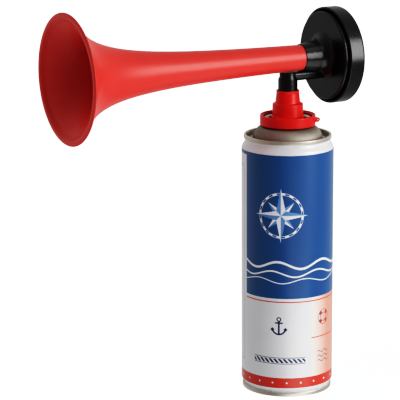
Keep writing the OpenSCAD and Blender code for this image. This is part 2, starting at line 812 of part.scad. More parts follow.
// Hub, front plate and the chamber's rim, as [radius, distance from the stem's axis]
module hub_and_plate() {
    hub_r = hub_d / 2;
    hub_foot_r = hub_foot_d / 2;
    groove_half = snap_len / 2 + snap_h;
    outline = concat(
        [[hub_bore_r, hub_x + edge_break], [hub_bore_r + edge_break, hub_x]],
        arc([hub_r - edge_break, hub_x + edge_break], edge_break, -90, 0),
        arc([hub_foot_r + hub_fillet, plate_x - hub_fillet], hub_fillet, 180, 90),
        arc([plate_r - plate_round, plate_x + plate_round], plate_round, -90, 0),
        [[plate_r, snap_x - groove_half], [groove_r, snap_x - snap_len / 2]],
        [[groove_r, snap_x + snap_len / 2], [plate_r, snap_x + groove_half]],
        [[plate_r, rim_x - edge_break], [plate_r - edge_break, rim_x]],
        [[chamber_r, rim_x], [chamber_r, plate_rear_x], [hub_bore_r, plate_rear_x]]
    );
    along_horn()
        spun(outline);
}

module horn_body() {
    color([0.09, 0.09, 0.1])
        difference() {
            union() {
                stem_tube();
                hub_and_plate();
                translate([0, 0, passage_z])
                    rotate([0, 90, 0])
                        linear_extrude(plate_x + plate_t / 2)
                            arm_section();
            }
            // Seat of the bush, socket of the stem and the two legs of the gas passage
            translate([0, 0, tube_low_z - over])
                cylinder(d = bush_d, h = bush_top_z - tube_low_z + over);
            translate([0, 0, tube_low_z])
                cylinder(r = stem_hole_r + stem_clear, h = socket_roof_z - tube_low_z);
            translate([0, 0, tube_low_z])
                cylinder(d = passage_d, h = passage_z - tube_low_z);
            translate([-passage_d / 2, 0, passage_z])
                rotate([0, 90, 0])
                    cylinder(d = passage_d, h = passage_d / 2 + plate_rear_x + over);
        }
}

module stem_bush() {
    bush_r = bush_d / 2 - seat_gap;
    outline = [
        [stem_hole_r, bush_low_z + edge_break],
        [stem_hole_r + edge_break, bush_low_z],
        [bush_r - edge_break, bush_low_z],
        [bush_r, bush_low_z + edge_break],
        [bush_r, bush_top_z - seat_gap],
        [stem_hole_r, bush_top_z - seat_gap]
    ];
    color("ivory")
        spun(outline);
}

// Outline of the trumpet's outer side, from lip to hub, as [distance behind the mouth, radius]
flare_path = [
    for (i = [0:flare_steps])
        let (u = flare_root + (horn_len - flare_root) * pow(i / flare_steps, 2))
        [u, flare_r(u)]
];

module trumpet() {
    last = len(flare_path) - 1;
    lip_centre = flare_path[0] - mouth_wall / 2 * [sin(lip_slope), cos(lip_slope)];
    lip = arc(lip_centre, mouth_wall / 2, 270 - lip_slope, 90 - lip_slope, 2 * bend_steps);
    bore = [
        for (i = [last:-1:1])
            let (wall = mouth_wall + (hub_wall - mouth_wall) * flare_path[i][0] / horn_len)
            flare_path[i] - wall * path_normal(flare_path, i)
    ];
    shell = [for (p = concat(bore, lip, flare_path)) [p[1], p[0] - mouth_x]];
    seal_floor_r = seal_r - o_ring_d / 2 - seat_gap;
    seal_half = o_ring_d * 0.65;
    seat_x = diaphragm_x - seat_gap;
    outline = concat(
        [[seat_bore_d / 2, seat_x]],
        shell,
        [[spigot_r, hub_x - seat_gap], [spigot_r, seal_x - seal_half], [seal_floor_r, seal_x - seal_half]],
        [[seal_floor_r, seal_x + seal_half], [spigot_r, seal_x + seal_half], [spigot_r, seat_x - seat_slope]],
        [[seat_bore_d / 2 + seat_w, seat_x]]
    );
    color("red")
        along_horn()
            spun(outline);
}

module trumpet_seal() {
    color("dimgray")
        along_horn()
            translate([0, 0, seal_x])
                rotate_extrude()
                    translate([seal_r, 0])
                        circle(d = o_ring_d, $fn = 24);
}

module diaphragm_gasket() {
    color("dimgray")
        along_horn()
            ring(chamber_r, clamped_r, rim_x + seat_gap, front_gasket_t);
}

module diaphragm() {
    color("lightgray")
        along_horn()
            ring(0, clamped_r, diaphragm_x, diaphragm_t);
}

module clamp_ring() {
    color("ivory")
        along_horn()
            ring(chamber_r - edge_break, clamped_r, clamp_ring_x, clamp_ring_t);
}

module back_cap() {
    snap_tip_r = groove_r + cap_fit;
    relief_r = chamber_r - 2 * edge_break;
    dish_r = cap_r - dish_rim;
    outline = concat(
        [[0, cap_inner_x + relief_depth], [relief_r, cap_inner_x + relief_depth], [relief_r, cap_inner_x]],
        [[cap_bore_r, cap_inner_x], [cap_bore_r, snap_x + snap_len / 2 + cap_fit]],
        [[snap_tip_r, snap_x + snap_len / 2 - cap_fit], [snap_tip_r, snap_x - snap_len / 2 + cap_fit]],
        [[cap_bore_r, snap_x - snap_len / 2 - snap_h + cap_fit], [cap_bore_r, cap_front_x + cap_chamfer]],
        [[cap_bore_r + cap_chamfer, cap_front_x]],
        arc([cap_r - cap_front_round, cap_front_x + cap_front_round], cap_front_round, -90, 0),
        arc([cap_r - cap_round, cap_back_x - cap_round], cap_round, 0, 90),
        [[dish_r, cap_back_x], [dish_r - 2 * dish_depth, cap_back_x - dish_depth]],
        [[0, cap_back_x - dish_depth]]
    );
    color([0.09, 0.09, 0.1])
        along_horn()
            spun(outline);
}

can_body();
can_dome();
can_base();
upper_seam_seal();
lower_seam_seal();
label_sleeve();
valve_cup();
cup_gasket();
valve_housing();
stem_gasket();
valve_stem();
valve_spring();
guide_collar();
horn_body();
stem_bush();
trumpet();
trumpet_seal();
diaphragm();
diaphragm_gasket();
clamp_ring();
back_cap();
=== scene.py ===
import math

import bmesh
import bpy
from mathutils import Matrix, Vector


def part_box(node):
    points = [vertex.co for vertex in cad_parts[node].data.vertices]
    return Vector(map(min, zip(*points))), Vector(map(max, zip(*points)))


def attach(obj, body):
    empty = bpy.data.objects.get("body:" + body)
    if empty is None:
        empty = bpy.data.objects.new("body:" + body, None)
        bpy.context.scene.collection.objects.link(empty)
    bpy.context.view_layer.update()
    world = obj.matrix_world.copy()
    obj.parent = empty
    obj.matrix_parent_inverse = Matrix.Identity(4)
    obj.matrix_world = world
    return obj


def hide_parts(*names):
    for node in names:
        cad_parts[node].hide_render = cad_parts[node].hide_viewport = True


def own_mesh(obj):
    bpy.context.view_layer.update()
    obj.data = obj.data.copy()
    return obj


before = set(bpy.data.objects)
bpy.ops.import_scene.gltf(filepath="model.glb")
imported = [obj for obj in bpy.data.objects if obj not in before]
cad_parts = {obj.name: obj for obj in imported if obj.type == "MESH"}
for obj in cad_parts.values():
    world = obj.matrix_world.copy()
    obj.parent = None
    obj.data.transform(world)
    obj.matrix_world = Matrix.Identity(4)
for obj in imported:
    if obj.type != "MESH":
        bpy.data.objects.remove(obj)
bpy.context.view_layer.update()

# The looks of a hand-held gas horn. Lengths are millimetres in the frame's axes: the can stands on its
# lower seam at the origin with +Z up, and the trumpet's mouth looks towards -X.
MM = 0.001

# Sizes that the shapes share with the solids
CAN_R = 28.4
LABEL_IN_R = 28.42
LABEL_R = 28.54
LABEL_LOW, LABEL_HIGH = (corner.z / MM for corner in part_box("label_sleeve"))
SPRING_LOW, SPRING_HIGH = (corner.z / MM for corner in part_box("valve_spring"))
horn_low, horn_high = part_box("trumpet")
HORN_Z = (horn_low.z + horn_high.z) / 2 / MM
MOUTH_X = horn_low.x / MM
MOUTH_R = horn_high.y / MM
SEAT_X = horn_high.x / MM

# The photograph's view: the camera's place seen from the can, and how it is turned
CAMERA_DISTANCE = 1359.76
CAMERA_HEIGHT = 434.13
CAMERA_AZIMUTH = math.radians(-120.8)
CAMERA_YAW = -0.04
CAMERA_PITCH = 0.2274
CAMERA_ROLL = 0.0051
FOCAL_PIXELS = 2240.77
FRAME_PIXELS = 400
SENSOR = 36.0

# The can's front, and where its weld and the sleeve's lap lie round it from there
FRONT_AZIMUTH = CAMERA_AZIMUTH
WELD_S = -80.0
ROUND = math.tau * LABEL_R


def srgb(red, green, blue):
    """Linear colour of an 8-bit screen colour."""
    def linear(c):
        c = c / 255
        return c / 12.92 if c <= 0.04045 else ((c + 0.055) / 1.055) ** 2.4
    return (linear(red), linear(green), linear(blue))


# Meshes

# Edges that turn by more than so many degrees stay sharp
EDGE_SHARP = 35
COPY_SHARP = 32
WIRE_SHARP = 60
# Vertices of a solid's mesh that are nearer to each other than this become one
WELD_GAP = 0.002


def rounded(corners, steps=6):
    """A closed outline with its corners rounded off. A corner is (across, along, radius)."""
    points = []
    for i, (x, y, radius) in enumerate(corners):
        if radius <= 0:
            points.append((x, y))
            continue
        here = Vector((x, y))
        back = Vector(corners[i - 1][:2]) - here
        ahead = Vector(corners[(i + 1) % len(corners)][:2]) - here
        half = back.angle(ahead) / 2
        reach = min(radius / math.tan(half), 0.49 * min(back.length, ahead.length))
        middle = (back.normalized() + ahead.normalized()).normalized()
        centre = here + middle * (reach / math.cos(half))
        first = here + back.normalized() * reach - centre
        last = here + ahead.normalized() * reach - centre
        turn = math.atan2(first.x * last.y - first.y * last.x, first.dot(last))
        for k in range(steps + 1):
            point = centre + Matrix.Rotation(turn * k / steps, 2) @ first
            points.append((point.x, point.y))
    return points


def smooth_object(name, mesh, sharp_angle):
    """An object that shades smooth except at its sharp edges."""
    mesh.shade_smooth()
    mesh.set_sharp_from_angle(angle=math.radians(sharp_angle))
    piece = bpy.data.objects.new(name, mesh)
    bpy.context.scene.collection.objects.link(piece)
    normals = piece.modifiers.new("even_shading", "WEIGHTED_NORMAL")
    normals.keep_sharp = True
    return piece


def mesh_object(name, bm, sharp_angle=EDGE_SHARP):
    """An object from a bmesh in millimetres."""
    bmesh.ops.recalc_face_normals(bm, faces=bm.faces)
    bmesh.ops.scale(bm, vec=(MM, MM, MM), verts=bm.verts)
    mesh = bpy.data.meshes.new(name)
    bm.to_mesh(mesh)
    bm.free()
    return smooth_object(name, mesh, sharp_angle)


def welded_copy(node, name):
    """A copy of a solid's mesh whose faces share their vertices, so that its curves shade evenly."""
    bm = bmesh.new()
    bm.from_mesh(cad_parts[node].data)
    bmesh.ops.remove_doubles(bm, verts=bm.verts, dist=WELD_GAP * MM)
    mesh = bpy.data.meshes.new(name)
    bm.to_mesh(mesh)
    bm.free()
    return smooth_object(name, mesh, COPY_SHARP)


def on_can(radius, height, turn):
    """A point at a height over the floor, turned about the can's axis."""
    return (radius * math.cos(turn), radius * math.sin(turn), height)


def on_horn(radius, along, turn):
    """A point at a distance along the horn's axis, turned about that axis."""
    return (along, radius * math.cos(turn), HORN_Z + radius * math.sin(turn))


def join(bm, here, there):
    """Faces between two rings that have as many vertices."""
    for k in range(len(here)):
        after = (k + 1) % len(here)
        bm.faces.new([here[k], here[after], there[after], there[k]])


def revolve(bm, outline, place, segments):
    """Turns a closed outline about an axis. Its points are (radius, distance along the axis)."""
    turns = [math.tau * k / segments for k in range(segments)]
    rings = []
    for radius, along in outline:
        rings.append([bm.verts.new(place(radius, along, turn)) for turn in turns])
    for ring, following in zip(rings, rings[1:] + rings[:1]):
        join(bm, ring, following)


def tube(bm, rings):
    """A closed tube through rings of vertices, with flat ends."""
    for here, there in zip(rings, rings[1:]):
        join(bm, here, there)
    bm.faces.new(rings[0])
    bm.faces.new(rings[-1][::-1])


def stand_for(piece, node, body, material):
    """Puts a piece in the place of a solid."""
    piece.data.materials.clear()
    piece.data.materials.append(material)
    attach(piece, body)
    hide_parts(node)
    return piece


# Materials

# A Mix node's sockets for colours, which share their names with those of its other kinds
MIX_LOW = 6
MIX_HIGH = 7
MIX_RESULT = 2


class Field:
    """A number that varies over a surface."""

    def __init__(self, graph, socket):
        self.graph = graph
        self.socket = socket

    def __add__(self, other):
        return self.graph.math("ADD", self, other)

    def __sub__(self, other):
        return self.graph.math("SUBTRACT", self, other)

    def __rsub__(self, other):
        return self.graph.math("SUBTRACT", other, self)

    def __mul__(self, other):
        return self.graph.math("MULTIPLY", self, other)

    def __abs__(self):
        return self.graph.math("ABSOLUTE", self)

    __radd__ = __add__


class Graph:
    """A material and the nodes that drive it. Places are millimetres in the frame's axes."""

    def __init__(self, name, **shader):
        self.material = bpy.data.materials.new(name)
        self.material.use_nodes = True
        self.tree = self.material.node_tree
        self.shader = self.tree.nodes["Principled BSDF"]
        for label, value in shader.items():
            self.shader.inputs[label.replace("_", " ")].default_value = value
        metres = self.tree.nodes.new("ShaderNodeTexCoord").outputs["Object"]
        scale = self.tree.nodes.new("ShaderNodeVectorMath")
        scale.operation = "SCALE"
        scale.inputs["Scale"].default_value = 1 / MM
        self.tree.links.new(metres, scale.inputs[0])
        self.place = scale.outputs[0]
        parts = self.tree.nodes.new("ShaderNodeSeparateXYZ")
        self.tree.links.new(self.place, parts.inputs[0])
        self.x, self.y, self.z = (Field(self, parts.outputs[i]) for i in range(3))

    def feed(self, value, socket):
        """Gives a socket a number, a colour, a field or another socket."""
        if isinstance(value, Field):
            value = value.socket
        if isinstance(value, bpy.types.NodeSocket):
            self.tree.links.new(value, socket)
        elif isinstance(value, tuple) and len(value) == 3 and socket.type == "RGBA":
            socket.default_value = (*value, 1)
        else:
            socket.default_value = value

    def set(self, label, value):
        self.feed(value, self.shader.inputs[label])

    def math(self, operation, *values):
        node = self.tree.nodes.new("ShaderNodeMath")
        node.operation = operation
        for value, socket in zip(values, node.inputs):
            self.feed(value, socket)
        return Field(self, node.outputs[0])

    def clamped(self, value, slope, offset):
        """value * slope + offset, kept between 0 and 1."""
        result = self.math("MULTIPLY_ADD", value, slope, offset)
        result.socket.node.use_clamp = True
        return result

    def length(self, u, v):
        return self.math("SQRT", u * u + v * v)

    def around(self, radius):
        """Distance round the can from its front."""
        ahead = self.x * math.cos(FRONT_AZIMUTH) + self.y * math.sin(FRONT_AZIMUTH)
        aside = self.y * math.cos(FRONT_AZIMUTH) - self.x * math.sin(FRONT_AZIMUTH)
        return self.math("ARCTAN2", aside, ahead) * radius

    def vector(self, x, y, z):
        node = self.tree.nodes.new("ShaderNodeCombineXYZ")
        for value, socket in zip((x, y, z), node.inputs):
            self.feed(value, socket)
        return node.outputs[0]

    def noise(self, size, detail=3, roughness=0.5, at=None):
        """Noise from 0 to 1 whose blobs are about so many millimetres across."""
        node = self.tree.nodes.new("ShaderNodeTexNoise")
        node.inputs["Scale"].default_value = 1 / size
        node.inputs["Detail"].default_value = detail
        node.inputs["Roughness"].default_value = roughness
        self.feed(at or self.place, node.inputs["Vector"])
        return Field(self, node.outputs["Fac"])

    def mix(self, share, low, high):
        """The colour low where share is 0, and high where it is 1."""
        node = self.tree.nodes.new("ShaderNodeMix")
        node.data_type = "RGBA"
        self.feed(share, node.inputs["Factor"])
        self.feed(low, node.inputs[MIX_LOW])
        self.feed(high, node.inputs[MIX_HIGH])
        return node.outputs[MIX_RESULT]

    def under(self, value, limit, soft=0.06):
        """1 where a value is under a limit, and 0 where it is over it."""
        return self.clamped(limit - value, 1 / soft, 0.5)

    def within(self, value, middle, half, soft=0.06):
        """1 where a value lies within half of a middle."""
        return self.under(abs(value - middle), half, soft)

    def all(self, *masks):
        product = masks[0]
        for mask in masks[1:]:
            product = product * mask
        return product

    def any(self, *masks):
        most = masks[0]
        for mask in masks[1:]:
            most = self.math("MAXIMUM", most, mask)
        return most

    def bump(self, *layers):
        """Raises the surface by each field times its height in millimetres."""
        normal = None
        for height, depth in layers:
            node = self.tree.nodes.new("ShaderNodeBump")
            node.inputs["Distance"].default_value = depth * MM
            self.feed(height, node.inputs["Height"])
            if normal:
                self.tree.links.new(normal, node.inputs["Normal"])
            normal = node.outputs["Normal"]
        self.tree.links.new(normal, self.shader.inputs["Normal"])


def moulded(name, colour, dark, roughness, grain, **shader):
    """Injection-moulded plastic: a faint flow mottle, uneven gloss, scuffs and the tool's fine skin."""
    g = Graph(name, **shader)
    mottle = g.noise(9, 4, 0.6)
    skin = g.noise(0.35, 2, 0.5)
    ripple = g.noise(2.2, 2)
    gloss = g.noise(3.5, 4, 0.65)
    scuffs = g.noise(1.1, 5, 0.7, g.vector(g.x * 0.12, g.y, g.z * 0.6))
    g.set("Base Color", g.mix(mottle, dark, colour))
    g.set("Roughness", roughness - 0.07 + gloss * 0.1 + scuffs * 0.06)
    g.bump((skin, 0.004 * grain), (ripple, 0.012 * grain))
    return g.material


def turned_metal(name, colour, dark, roughness, dull_r=0):
    """Formed sheet steel with the fine rings that the tools leave, greyer and duller inside a radius."""
    g = Graph(name, Metallic=1.0, Anisotropic=0.4)
    radius = g.length(g.x, g.y)
    rings = g.noise(0.22, 3, 0.7, g.vector(radius, g.z, 0.0))
    stain = g.noise(6, 5, 0.65)
    haze = g.noise(1.3, 4, 0.6)
    dull = g.under(radius, dull_r, 0.5)
    bright_colour = g.mix(stain, dark, colour)
    dull_colour = g.mix(stain, srgb(165, 160, 150), srgb(188, 183, 173))
    g.set("Base Color", g.mix(dull, bright_colour, dull_colour))
    g.set("Roughness", roughness - 0.05 + haze * 0.12 + rings * 0.08 + dull * 0.22)
    g.bump((rings, 0.004), (g.noise(4, 2), 0.02))
    return g.material


def rubber(name):
    """Black rubber under a little dust."""
    g = Graph(name)
    dust = g.noise(2, 5, 0.7)
    g.set("Base Color", g.mix(dust, srgb(24, 24, 25), srgb(52, 52, 54)))
    g.set("Roughness", 0.62 + dust * 0.2)
    g.bump((g.noise(0.25, 3), 0.01))
    return g.material


def wire(name):
    """Drawn spring wire."""
    g = Graph(name, Metallic=1.0)
    drawn = g.noise(0.12, 3, 0.6)
    g.set("Base Color", g.mix(drawn, srgb(150, 150, 155), srgb(205, 205, 208)))
    g.set("Roughness", 0.2 + drawn * 0.15)
    g.bump((drawn, 0.003))
    return g.material


def film(name):
    """Stiff milky film."""
    g = Graph(name)
    cloud = g.noise(5, 4, 0.6)
    g.set("Base Color", g.mix(cloud, srgb(196, 198, 188), srgb(226, 226, 216)))
    g.set("Roughness", 0.3 + cloud * 0.15)
    g.bump((g.noise(1.5, 3), 0.006))
    return g.material


def can_lacquer():
    """White lacquer, left bare along the side weld."""
    g = Graph("can_lacquer", Coat_Weight=0.8, Coat_Roughness=0.3)
    s = g.around(CAN_R)
    bare = g.within(s, WELD_S, 1.5, 0.3)
    weld = g.within(s, WELD_S, 0.35, 0.1)
    paint = g.mix(g.noise(8, 3), srgb(236, 236, 239), srgb(242, 242, 243))
    steel = g.mix(weld, srgb(150, 146, 138), srgb(88, 84, 80))
    g.set("Base Color", g.mix(bare, paint, steel))
    g.set("Metallic", bare)
    g.set("Roughness", 0.24 + g.noise(3, 4, 0.6) * 0.1)
    g.bump((g.noise(5, 2), 0.02), (weld, 0.05))
    return g.material


# The sleeve's print. s is the distance round the can from its front, and z the height over the floor.
WHITE_INK = srgb(242, 242, 243)
GREY_INK = srgb(226, 227, 231)
BLUE_INK = srgb(38, 92, 146)
PALE_BLUE_INK = srgb(110, 150, 205)
NAVY_INK = srgb(16, 40, 92)
RED_INK = srgb(214, 72, 58)
CREAM_INK = srgb(248, 236, 228)
SALMON_INK = srgb(232, 164, 142)
SIDE_PANEL_S = -51.6
LIFE_RING_S = 26.0


def ink_grounds(g, s, z):
    """The print's coloured grounds and their rules, and the share of blue at each place."""
    blue_low = 63.4
    foot_high = 12.4
    notes_low_s, notes_high_s = 16.0, 66.0
    notes_middle, notes_half = (notes_low_s + notes_high_s) / 2, (notes_high_s - notes_low_s) / 2
    warm_after, warm_over = 0.15, 12
    outside_panel = 1 - g.all(g.within(s, SIDE_PANEL_S, 21.0), g.under(z, 151.2))
    blue = g.all(g.under(blue_low, z), outside_panel)
    notes = g.all(g.within(s, notes_middle, notes_half), g.under(z, blue_low))
    warmth = g.clamped(s - notes_low_s, 1 / warm_over, -warm_after)
    colour = g.mix(g.noise(30, 2), WHITE_INK, GREY_INK)
    colour = g.mix(notes, colour, g.mix(warmth, CREAM_INK, SALMON_INK))
    colour = g.mix(blue, colour, BLUE_INK)
    rule = g.all(g.within(z, 61.2, 0.35), outside_panel)
    notes_rule = g.all(notes, g.within(z, 37.4, 0.3))
    foot = g.under(z, foot_high)
    return g.mix(g.any(rule, notes_rule, foot), colour, RED_INK), blue


def ink_diamonds(g, colour, s, z):
    """A row of small diamonds along the foot."""
    count = 20
    along = g.math("PINGPONG", s + ROUND, ROUND / count / 2)
    return g.mix(g.under(along + abs(z - 9.2), 0.75), colour, WHITE_INK)


def star(g, u, v, reach, waist):
    """A four-pointed star, and the lit half of each of its points."""
    longer = g.math("MAXIMUM", abs(u), abs(v))
    shorter = g.math("MINIMUM", abs(u), abs(v))
    inside = g.under(longer + shorter * ((reach - waist) / waist), reach)
    lit = g.under(u * v * (abs(u) - abs(v)), 0.0, 0.4)
    return inside, lit


def ink_rose(g, colour, u, v, size):
    """A compass rose: one star over another that is turned by half a right angle, in a divided ring."""
    radius = g.length(u, v)
    ticks = g.under(g.math("SINE", g.math("ARCTAN2", v, u) * 16), 0.0, 0.1)
    divided = g.within(radius, 0.8 * size, 0.035 * size) * ticks
    rings = g.any(g.within(radius, 0.765 * size, 0.12), g.within(radius, 0.835 * size, 0.12))
    colour = g.mix(g.any(divided, rings), colour, WHITE_INK)
    turned_u = (u + v) * math.sqrt(0.5)
    turned_v = (v - u) * math.sqrt(0.5)
    stars = (
        star(g, turned_u, turned_v, 0.68 * size, 0.15 * size),
        star(g, u, v, size, 0.17 * size),
    )
    for inside, lit in stars:
        colour = g.mix(inside, colour, g.mix(lit, PALE_BLUE_INK, WHITE_INK))
    return colour


def ink_waves(g, colour, blue, s, z):
    """Three waving lines over the blue ground."""
    crests = 6
    for height, swell, half in ((84.5, 2.2, 0.75), (79.0, 1.8, 0.5), (74.5, 1.4, 0.3)):
        line = g.math("SINE", s * (math.tau * crests / ROUND) + height) * swell + height
        colour = g.mix(g.all(blue, g.under(abs(z - line), half)), colour, WHITE_INK)
    return colour


def ink_anchor(g, colour, u, v):
    """A plain anchor, about ten millimetres high, about a point."""
    shank = g.all(g.under(abs(u), 0.55), g.within(v, 0.0, 4.2))
    ring = g.within(g.length(u, v - 5.2), 1.15, 0.35)
    stock = g.all(g.within(v, 2.9, 0.45), g.under(abs(u), 2.5))
    arms = g.all(g.within(g.length(u, v + 0.2), 4.2, 0.5), g.under(v, -1.2))
    flukes = g.under(abs(abs(u) - 4.1) + abs(v + 1.3), 1.3)
    return g.mix(g.any(shank, ring, stock, arms, flukes), colour, NAVY_INK)


def ink_rope(g, colour, s, z):
    """A length of laid rope between two thin lines."""
    rope_z = 23.5
    lay = 3.0
    span = g.within(s, -5.0, 17.0)
    strands = g.under(g.math("SINE", (s + (z - rope_z) * 0.9) * (math.tau / lay)), 0.1, 0.3)
    rope = g.all(span, g.within(z, rope_z, 1.3), strands)
    edges = g.all(span, g.within(abs(z - rope_z), 1.9, 0.18))
    return g.mix(g.any(rope, edges), colour, NAVY_INK)


def ink_life_ring(g, colour, u, v):
    """A life ring: four bands between two outlines."""
    radius = g.length(u, v)
    bands = g.under(0.8 - abs(g.math("SINE", g.math("ARCTAN2", v, u) * 2)), 0.0, 0.05)
    outline = g.any(g.within(radius, 4.6, 0.14), g.within(radius, 2.6, 0.14))
    colour = g.mix(g.within(radius, 3.6, 1.0) * bands, colour, RED_INK)
    return g.mix(outline, colour, NAVY_INK)


def ink_ripples(g, colour, u, z):
    """Three short rippled lines."""
    ripple = g.math("SINE", u * (math.tau / 5.0)) * 0.7
    lines = [g.under(abs(z - height - ripple), 0.22) for height in (27.5, 24.5, 21.5)]
    return g.mix(g.all(g.within(u, 0.0, 5.0), g.any(*lines)), colour, NAVY_INK)


def ink_frame(g, colour, u, v):
    """A thin upright rectangle."""
    half_wide, half_high, line = 17.5, 62.0, 0.2
    sides = g.all(g.within(abs(u), half_wide, line), g.under(abs(v), half_high))
    ends = g.all(g.within(abs(v), half_high, line), g.under(abs(u), half_wide + line))
    return g.mix(g.any(sides, ends), colour, PALE_BLUE_INK)


def printed_label():
    """Blue over white with a red foot, a side panel, a panel for notes and plain nautical ornaments."""
    g = Graph("printed_label", Coat_Weight=0.7, Coat_Roughness=0.34)
    s = g.around(LABEL_R)
    z = g.z
    colour, blue = ink_grounds(g, s, z)
    colour = ink_diamonds(g, colour, s, z)
    colour = ink_rose(g, colour, s + 4.0, z - 116.0, 17.0)
    colour = ink_waves(g, colour, blue, s, z)
    colour = ink_anchor(g, colour, s + 5.0, z - 45.0)
    colour = ink_rope(g, colour, s, z)
    colour = ink_life_ring(g, colour, s - LIFE_RING_S, z - 49.5)
    colour = ink_ripples(g, colour, s - LIFE_RING_S, z)
    colour = ink_frame(g, colour, s - SIDE_PANEL_S, z - 82.0)
    g.set("Base Color", colour)
    g.set("Roughness", 0.26 + g.noise(7, 4, 0.6) * 0.1)
    g.bump((g.noise(14, 2), 0.03), (g.noise(0.5, 2), 0.002))
    return g.material


RED_TRUMPET = moulded("red_trumpet", srgb(236, 80, 72), srgb(228, 72, 66), 0.34, 1.0)
RED_COLLAR = moulded("red_collar", srgb(240, 46, 40), srgb(226, 38, 34), 0.3, 0.8)
BLACK_PLASTIC = moulded(
    "black_plastic", srgb(19, 19, 21), srgb(13, 13, 14), 0.25, 1.0, Specular_IOR_Level=0.7
)
WHITE_PLASTIC = moulded("white_plastic", srgb(232, 230, 220), srgb(220, 216, 204), 0.4, 0.6)
TINPLATE = turned_metal("tinplate", srgb(236, 230, 220), srgb(212, 206, 195), 0.34, dull_r=24.6)
CUP_STEEL = turned_metal("cup_steel", srgb(205, 200, 190), srgb(182, 178, 168), 0.26)
SPRING_WIRE = wire("spring_wire")
SEALING = rubber("sealing_compound")
DIAPHRAGM_FILM = film("diaphragm_film")
LACQUER = can_lacquer()
LABEL_PRINT = printed_label()


# The trumpet: a flare that follows one formula, with a rolled lip round its mouth. u is the distance
# behind the mouth.
CORE_R = 5.65
FLARE_LEN = 21.6
FLARE_POWER = 1.27
MOUTH_WALL = 1.6
HUB_WALL = 2.3
HUB_X = 8.68
HORN_LEN = HUB_X - MOUTH_X
ROOT_SLOPE = math.atan((MOUTH_R - MOUTH_WALL / 2 - CORE_R) * FLARE_POWER / FLARE_LEN)
ROOT_R = MOUTH_R - MOUTH_WALL / 2 * (1 - math.cos(ROOT_SLOPE))
ROOT_U = MOUTH_WALL / 2 * (1 + math.sin(ROOT_SLOPE))
# The lip's oval. The flare's outside meets it from one distance on, and its inside up to one radius.
LIP_HALF_U = 0.9
LIP_HALF_R = 1.9
OUTSIDE_FROM_U = 2.6
INSIDE_TO_R = 34.0


def flare_radius(u):
    """Outer radius of the trumpet."""
    return CORE_R + (ROOT_R - CORE_R) * (FLARE_LEN / (u - ROOT_U + FLARE_LEN)) ** FLARE_POWER


def flare_normal(u):
    step = 0.01
    slope = (flare_radius(u + step) - flare_radius(u - step)) / (2 * step)
    return Vector((-slope, 1)).normalized()


def lip_touch(point, centre, side):
    """Turn on the lip's oval at which a straight line to a point behind it touches."""
    away = Vector(((point.x - centre.x) / LIP_HALF_U, (point.y - centre.y) / LIP_HALF_R))
    return math.atan2(away.y, away.x) + side * math.acos(1 / away.length)


def trumpet_shell():
    """Outline of the flare and its lip, from the end of the bore round the mouth to the hub."""
    steps = 120
    lip_steps = 32
    distances = [ROOT_U + (HORN_LEN - ROOT_U) * (i / steps) ** 1.7 for i in range(steps + 1)]
    outside = [Vector((u, flare_radius(u))) for u in distances if u > OUTSIDE_FROM_U]
    inside = []
    for u in distances:
        wall = MOUTH_WALL + (HUB_WALL - MOUTH_WALL) * u / HORN_LEN
        point = Vector((u, flare_radius(u))) - wall * flare_normal(u)
        if point.y < INSIDE_TO_R:
            inside.append(point)
    centre = Vector((LIP_HALF_U, MOUTH_R - LIP_HALF_R))
    first = lip_touch(inside[0], centre, -1) % math.tau
    last = lip_touch(outside[0], centre, 1)
    lip = []
    for i in range(lip_steps + 1):
        turn = first + (last - first) * i / lip_steps
        lip.append(centre + Vector((LIP_HALF_U * math.cos(turn), LIP_HALF_R * math.sin(turn))))
    return [(point.y, point.x + MOUTH_X) for point in inside[::-1] + lip + outside]


def trumpet():
    """The flare, and the spigot with its seal's groove and the diaphragm's seat."""
    spigot_r, groove_r, bore_r = 6.3, 4.97, 3.4
    groove_low, groove_high = 20.7 - 0.845, 20.7 + 0.845
    seat_slope, seat_w = 1.6, 0.9
    spigot = rounded([
        (spigot_r, HUB_X, 0), (spigot_r, groove_low, 0.1), (groove_r, groove_low, 0.1),
        (groove_r, groove_high, 0.1), (spigot_r, groove_high, 0.1),
        (spigot_r, SEAT_X - seat_slope, 0.3), (bore_r + seat_w, SEAT_X, 0.2), (bore_r, SEAT_X, 0.2),
    ])
    bm = bmesh.new()
    revolve(bm, trumpet_shell() + spigot, on_horn, 192)
    return mesh_object("trumpet_shell", bm)


def label():
    """The sleeve, and the lap where its end lies over its start."""
    edge = 0.04
    sunk = 0.02
    lap_t = 0.1
    lap_turn = FRONT_AZIMUTH + WELD_S / LABEL_R
    lap_half = math.radians(4.5)
    steps = 12
    bm = bmesh.new()
    revolve(bm, rounded([
        (LABEL_IN_R, LABEL_LOW, 0), (LABEL_R, LABEL_LOW, edge),
        (LABEL_R, LABEL_HIGH, edge), (LABEL_IN_R, LABEL_HIGH, 0),
    ], 2), on_can, 256)
    rings = []
    for i in range(steps + 1):
        turn = lap_turn - lap_half + 2 * lap_half * i / steps
        low_r = LABEL_R - sunk
        high_r = LABEL_R + lap_t * min(1, 4 * i / steps)
        corners = ((low_r, LABEL_LOW), (high_r, LABEL_LOW), (high_r, LABEL_HIGH), (low_r, LABEL_HIGH))
        rings.append([bm.verts.new(on_can(r, z, turn)) for r, z in corners])
    tube(bm, rings)
    return mesh_object("label_print", bm)


# The spring under the stem. On the real horn it gets shorter by the stem's travel when the horn is
# pressed.
SPRING_MID_R = 2.45
SPRING_WIRE_R = 0.25
SPRING_TURNS = 5.5


